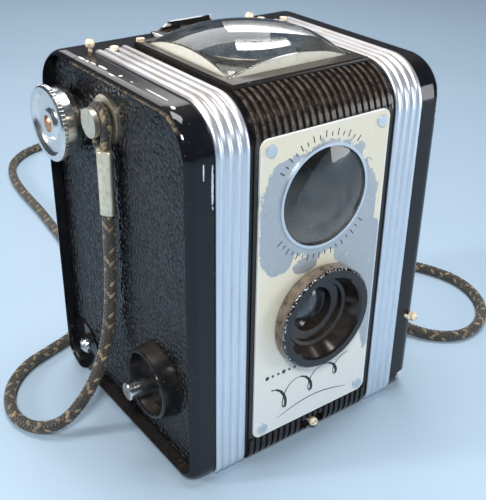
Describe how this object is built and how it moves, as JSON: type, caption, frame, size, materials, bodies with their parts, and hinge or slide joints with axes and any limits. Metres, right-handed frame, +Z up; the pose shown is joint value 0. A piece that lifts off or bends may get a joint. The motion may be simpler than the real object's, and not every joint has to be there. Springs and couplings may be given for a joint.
{
  "type": "box reflex camera",
  "caption": "Twin-lens box reflex camera with a brilliant finder, ribbed metal trim, winding knob, plunger release, hinged back and braided carrying cord.",
  "frame": {"origin": "centre of the base, on the surface that the camera stands on", "axes": "+Z up, lenses look along -Y, +X to the right seen from in front of the lenses; spools and knob turn about X"},
  "size_m": [0.1807, 0.2645, 0.1193],
  "materials": {
    "black_enamel": "gloss",
    "aluminium": "satin",
    "cream_lacquer": "satin",
    "leatherette": "pebbled",
    "nickel": "polished",
    "steel": "satin",
    "copper_rivet": "worn",
    "glass": "clear",
    "mirror": "silvered",
    "black_metal": "matt",
    "red_window": "clear red",
    "braid": "braided",
    "crimp": "dull",
    "bronze_enamel": "gloss",
    "cream_pin": "satin"
  },
  "bodies": {
    "camera": {"main_housing": "black_enamel", "hinge_rivet_left": "nickel", "hinge_rivet_right": "nickel", "latch_keeper": "steel", "left_trim_band": "aluminium", "right_trim_band": "aluminium", "ribbed_centre_strip": "black_enamel", "band_rivets": "cream_pin", "face_plate": "cream_lacquer", "face_plate_rivets": "aluminium", "viewing_lens_ring": "aluminium", "viewing_lens": "glass", "lens_barrel": "bronze_enamel", "taking_lens": "glass", "lens_retaining_ring": "black_metal", "aperture_plate": "black_metal", "shutter_plate": "steel", "shutter_pivots": "steel", "shutter_spring": "steel", "release_spring": "steel", "release_boss": "black_enamel", "finder_frame": "black_enamel", "finder_lens": "glass", "finder_chamber": "black_metal", "finder_mirror": "mirror", "film_gate": "black_metal", "take_up_pivot": "steel", "supply_pivot_left": "steel", "supply_pivot_right": "steel", "spool_springs": "steel", "winding_bush": "nickel", "left_leatherette": "leatherette", "right_leatherette": "leatherette", "edge_pin": "cream_pin", "tripod_bush": "steel", "strap_stud_left": "nickel", "strap_stud_right": "nickel", "strap_ferrule_left": "crimp", "strap_ferrule_right": "crimp", "strap_loop_left": "braid", "strap_loop_right": "braid", "carrying_cord": "braid"},
    "cover": {"back_cover": "black_enamel", "latch_rivet": "nickel", "film_window": "red_window", "film_window_frame": "black_enamel", "back_leatherette": "leatherette", "cover_pins": "cream_pin"},
    "latch": {"back_latch": "black_enamel"},
    "winder": {"winding_knob": "nickel", "winding_shaft": "steel", "knob_rivet": "copper_rivet", "take_up_spool": "black_metal"},
    "supply": {"supply_spool": "black_metal"},
    "upper_roller": {"upper_film_roller": "steel"},
    "lower_roller": {"lower_film_roller": "steel"},
    "plunger": {"release_plunger": "nickel"},
    "lever": {"shutter_lever": "steel"},
    "blade": {"shutter_blade": "black_metal"},
    "selector": {"exposure_selector": "cream_pin"}
  },
  "joints": [
    {"name": "back_cover_hinge", "type": "hinge", "parent": "camera", "child": "cover", "pos_m": [0, 0.0286, 0.0104], "axis": [-1, 0, 0], "range_deg": [0, 70]},
    {"name": "back_latch_slide", "type": "slide", "parent": "cover", "child": "latch", "axis": [1, 0, 0], "range_m": [0, 0.005]},
    {"name": "winding_knob_turn", "type": "hinge", "parent": "camera", "child": "winder", "pos_m": [0, 0.0219, 0.0927], "axis": [1, 0, 0], "continuous": true},
    {"name": "supply_spool_turn", "type": "hinge", "parent": "camera", "child": "supply", "pos_m": [0, 0.004, 0.0137], "axis": [1, 0, 0], "continuous": true},
    {"name": "upper_roller_turn", "type": "hinge", "parent": "camera", "child": "upper_roller", "pos_m": [0, 0.031, 0.0776], "axis": [1, 0, 0], "continuous": true},
    {"name": "lower_roller_turn", "type": "hinge", "parent": "camera", "child": "lower_roller", "pos_m": [0, 0.031, 0.0128], "axis": [1, 0, 0], "continuous": true},
    {"name": "release_press", "type": "slide", "parent": "camera", "child": "plunger", "axis": [1, 0, 0], "range_m": [0, 0.003], "stiffness_N_per_m": 300},
    {"name": "shutter_lever_turn", "type": "hinge", "parent": "camera", "child": "lever", "pos_m": [-0.022, -0.0306, 0.036], "axis": [0, -1, 0], "range_deg": [0, 17.5]},
    {"name": "shutter_blade_turn", "type": "hinge", "parent": "camera", "child": "blade", "pos_m": [0.009, -0.032, 0.038], "axis": [0, 1, 0], "range_deg": [0, 62]},
    {"name": "exposure_selector_slide", "type": "slide", "parent": "camera", "child": "selector", "axis": [1, 0, 0], "range_m": [-0.003, 0.003]}
  ],
  "couplings": [
    {"joint": "shutter_lever_turn", "follows": "release_press", "rad_per_m": 100},
    {"joint": "shutter_blade_turn", "follows": "release_press", "rad_per_m": 349}
  ]
}
